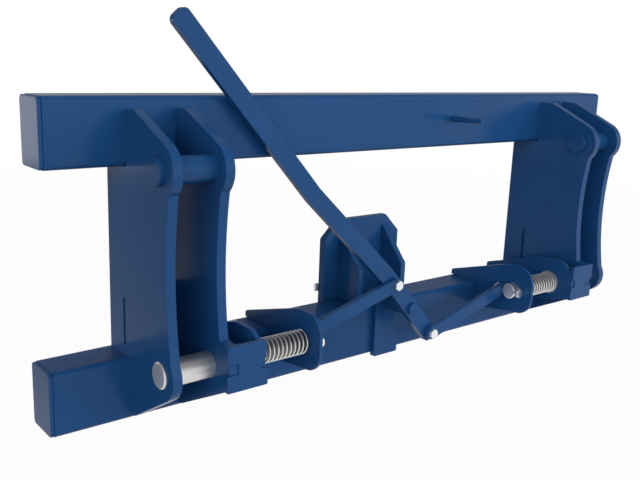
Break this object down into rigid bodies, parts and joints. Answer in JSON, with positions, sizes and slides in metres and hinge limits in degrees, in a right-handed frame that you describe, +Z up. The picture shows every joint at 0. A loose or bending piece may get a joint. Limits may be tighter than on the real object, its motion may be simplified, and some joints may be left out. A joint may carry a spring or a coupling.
{
  "type": "loader adapter frame",
  "caption": "Welded loader adapter frame with two hook ear pairs and spring lock pins drawn by one hand lever.",
  "frame": {"origin": "underside of the bottom beam, middle of its length and depth", "axes": "+X along the beams, +Y to the rear (implement side), +Z up"},
  "size_m": [1.3, 0.247, 0.617],
  "materials": {
    "blue_paint": "gloss",
    "bright_steel": "satin",
    "spring_steel": "satin",
    "zinc": "satin"
  },
  "bodies": {
    "frame": {"top_beam": "blue_paint", "bottom_beam": "blue_paint", "top_cap_left": "blue_paint", "top_cap_right": "blue_paint", "bottom_cap_left": "blue_paint", "bottom_cap_right": "blue_paint", "ear_outer_left": "blue_paint", "ear_inner_left": "blue_paint", "web_plate_left": "blue_paint", "hook_bar_left": "blue_paint", "box_front_plate_left": "blue_paint", "cheek_plate_left": "blue_paint", "guide_plate_left": "blue_paint", "bracket_gusset_left": "blue_paint", "spring_left": "spring_steel", "ear_outer_right": "blue_paint", "ear_inner_right": "blue_paint", "web_plate_right": "blue_paint", "hook_bar_right": "blue_paint", "box_front_plate_right": "blue_paint", "cheek_plate_right": "blue_paint", "guide_plate_right": "blue_paint", "bracket_gusset_right": "blue_paint", "spring_right": "spring_steel", "pivot_plate": "blue_paint", "pivot_boss": "blue_paint", "pivot_pin": "blue_paint", "bracket_back_plate": "blue_paint", "keeper_peg": "blue_paint", "rear_strip": "bright_steel"},
    "lever": {"lever": "blue_paint", "lever_bolt_upper": "zinc", "lever_bolt_lower": "zinc"},
    "lock_pin_left": {"lock_pin_left": "bright_steel", "pin_collar_left": "bright_steel", "pin_bolt_left": "zinc"},
    "link_left": {"link_left": "blue_paint"},
    "lock_pin_right": {"lock_pin_right": "bright_steel", "pin_collar_right": "bright_steel", "pin_bolt_right": "zinc"},
    "link_right": {"link_right": "blue_paint"}
  },
  "joints": [
    {"name": "lever_swing", "type": "hinge", "parent": "frame", "child": "lever", "pos_m": [0, -0.102, 0.106], "axis": [0, 1, 0], "range_deg": [0, 45]},
    {"name": "lock_pin_left_slide", "type": "slide", "parent": "frame", "child": "lock_pin_left", "axis": [1, 0, 0], "range_m": [0, 0.0595], "deforming": ["spring_left"]},
    {"name": "link_left_turn", "type": "hinge", "parent": "lock_pin_left", "child": "link_left", "pos_m": [-0.255, -0.1135, 0.106], "axis": [0, 1, 0], "range_deg": [-6.5, 0]},
    {"name": "lock_pin_right_slide", "type": "slide", "parent": "frame", "child": "lock_pin_right", "axis": [-1, 0, 0], "range_m": [0, 0.0595], "deforming": ["spring_right"]},
    {"name": "link_right_turn", "type": "hinge", "parent": "lock_pin_right", "child": "link_right", "pos_m": [0.255, -0.1135, 0.106], "axis": [0, 1, 0], "range_deg": [-6.5, 0]}
  ],
  "couplings": [
    {"joint": "lock_pin_left_slide", "follows": "lever_swing", "m_per_rad": 0.0754},
    {"joint": "link_left_turn", "follows": "lever_swing", "ratio": -0.1435},
    {"joint": "lock_pin_right_slide", "follows": "lever_swing", "m_per_rad": 0.0754},
    {"joint": "link_right_turn", "follows": "lever_swing", "ratio": -0.1435}
  ]
}
